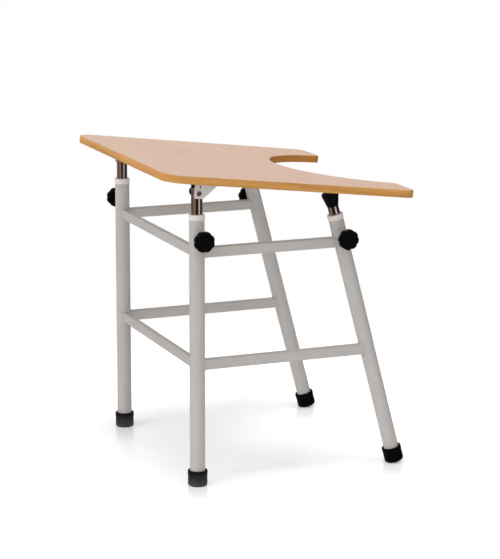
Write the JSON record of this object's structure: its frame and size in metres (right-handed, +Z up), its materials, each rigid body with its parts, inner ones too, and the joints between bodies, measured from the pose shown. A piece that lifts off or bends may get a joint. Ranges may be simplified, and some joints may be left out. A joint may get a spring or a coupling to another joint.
{
  "type": "physiotherapy work table",
  "caption": "Work table with a half-round cut-out desktop on a tube frame; rear legs upright, front legs raked, inner tubes slide for height and tilt.",
  "frame": {"origin": "on the floor, under the middle of the table's overall box", "axes": "+Z up; +Y to the rear, away from the user; +X to the user's right, who sits on the -Y side at the cut-out"},
  "size_m": [0.728, 0.6734, 0.8032],
  "materials": {
    "frame_paint": "satin warm grey powder coat",
    "bracket_paint": "satin light grey powder coat",
    "chrome": "bright chromed tube",
    "top_laminate": "matt light beech laminate",
    "under_laminate": "plain pale backing laminate",
    "board_core": "pressed wood board",
    "edge_band": "orange beech edge band, satin",
    "bush_plastic": "pale moulded plastic",
    "nylon": "natural nylon",
    "knob_plastic": "black moulded plastic, fine grain",
    "tip_rubber": "black rubber",
    "buffer_rubber": "black rubber",
    "zinc_steel": "bright zinc plated steel",
    "dark_steel": "dark plated steel"
  },
  "bodies": {
    "frame": {"boss_front_left": "frame_paint", "boss_front_right": "frame_paint", "boss_rear_left": "frame_paint", "boss_rear_right": "frame_paint", "bush_front_left": "bush_plastic", "bush_front_right": "bush_plastic", "bush_rear_left": "bush_plastic", "bush_rear_right": "bush_plastic", "leg_front_left": "frame_paint", "leg_front_right": "frame_paint", "leg_rear_left": "frame_paint", "leg_rear_right": "frame_paint", "rear_rail_lower": "frame_paint", "rear_rail_upper": "frame_paint", "side_rail_lower_left": "frame_paint", "side_rail_lower_right": "frame_paint", "side_rail_upper_left": "frame_paint", "side_rail_upper_right": "frame_paint", "tip_front_left": "tip_rubber", "tip_front_right": "tip_rubber", "tip_rear_left": "tip_rubber", "tip_rear_right": "tip_rubber"},
    "rear_tubes": {"guide_plug_rear_left": "nylon", "guide_plug_rear_right": "nylon", "inner_tube_rear_left": "chrome", "inner_tube_rear_right": "chrome", "tube_cap_left": "knob_plastic", "tube_cap_right": "knob_plastic"},
    "front_tubes": {"buffer_left": "buffer_rubber", "buffer_right": "buffer_rubber", "guide_plug_front_left": "nylon", "guide_plug_front_right": "nylon", "inner_tube_front_left": "chrome", "inner_tube_front_right": "chrome"},
    "pivot_bolts": {"pivot_bolt_left": "dark_steel", "pivot_bolt_right": "dark_steel", "pivot_nut_left": "knob_plastic", "pivot_nut_right": "knob_plastic", "pivot_washers": "zinc_steel"},
    "desktop": {"bracket_left": "bracket_paint", "bracket_right": "bracket_paint", "desktop_core": "board_core", "desktop_edge_band": "edge_band", "desktop_top_laminate": "top_laminate", "desktop_under_laminate": "under_laminate", "wood_screws": "zinc_steel"},
    "clamp_rear_left": {"clamp_knob_rear_left": "knob_plastic", "clamp_screw_rear_left": "zinc_steel"},
    "clamp_rear_right": {"clamp_knob_rear_right": "knob_plastic", "clamp_screw_rear_right": "zinc_steel"},
    "clamp_front_left": {"clamp_knob_front_left": "knob_plastic", "clamp_screw_front_left": "zinc_steel"},
    "clamp_front_right": {"clamp_knob_front_right": "knob_plastic", "clamp_screw_front_right": "zinc_steel"}
  },
  "joints": [
    {"name": "rear_height", "type": "slide", "parent": "frame", "child": "rear_tubes", "axis": [0, 0, 1], "range_m": [-0.025, 0.04]},
    {"name": "front_height", "type": "slide", "parent": "frame", "child": "front_tubes", "axis": [0, 0.2588, 0.9659], "range_m": [-0.02, 0.04]},
    {"name": "bolt_turn", "type": "hinge", "parent": "rear_tubes", "child": "pivot_bolts", "pos_m": [0, 0.23103, 0.742], "axis": [1, 0, 0], "range_deg": [-4, 6.5]},
    {"name": "desktop_tilt", "type": "hinge", "parent": "pivot_bolts", "child": "desktop", "pos_m": [0, 0.23103, 0.742], "axis": [1, 0, 0], "range_deg": [-6.5, 3.5]},
    {"name": "clamp_rear_left_turn", "type": "hinge", "parent": "frame", "child": "clamp_rear_left", "pos_m": [-0.285, 0.23103, 0.6285], "axis": [-1, 0, 0], "range_deg": [0, 360]},
    {"name": "clamp_rear_right_turn", "type": "hinge", "parent": "frame", "child": "clamp_rear_right", "pos_m": [0.285, 0.23103, 0.6285], "axis": [1, 0, 0], "range_deg": [0, 360]},
    {"name": "clamp_front_left_turn", "type": "hinge", "parent": "frame", "child": "clamp_front_left", "pos_m": [-0.285, -0.1523, 0.60708], "axis": [-1, 0, 0], "range_deg": [0, 360]},
    {"name": "clamp_front_right_turn", "type": "hinge", "parent": "frame", "child": "clamp_front_right", "pos_m": [0.285, -0.1523, 0.60708], "axis": [1, 0, 0], "range_deg": [0, 360]}
  ],
  "couplings": [
    {"joint": "bolt_turn", "follows": "rear_height", "rad_per_m": 2.605},
    {"joint": "desktop_tilt", "follows": "front_height", "rad_per_m": -2.645}
  ]
}
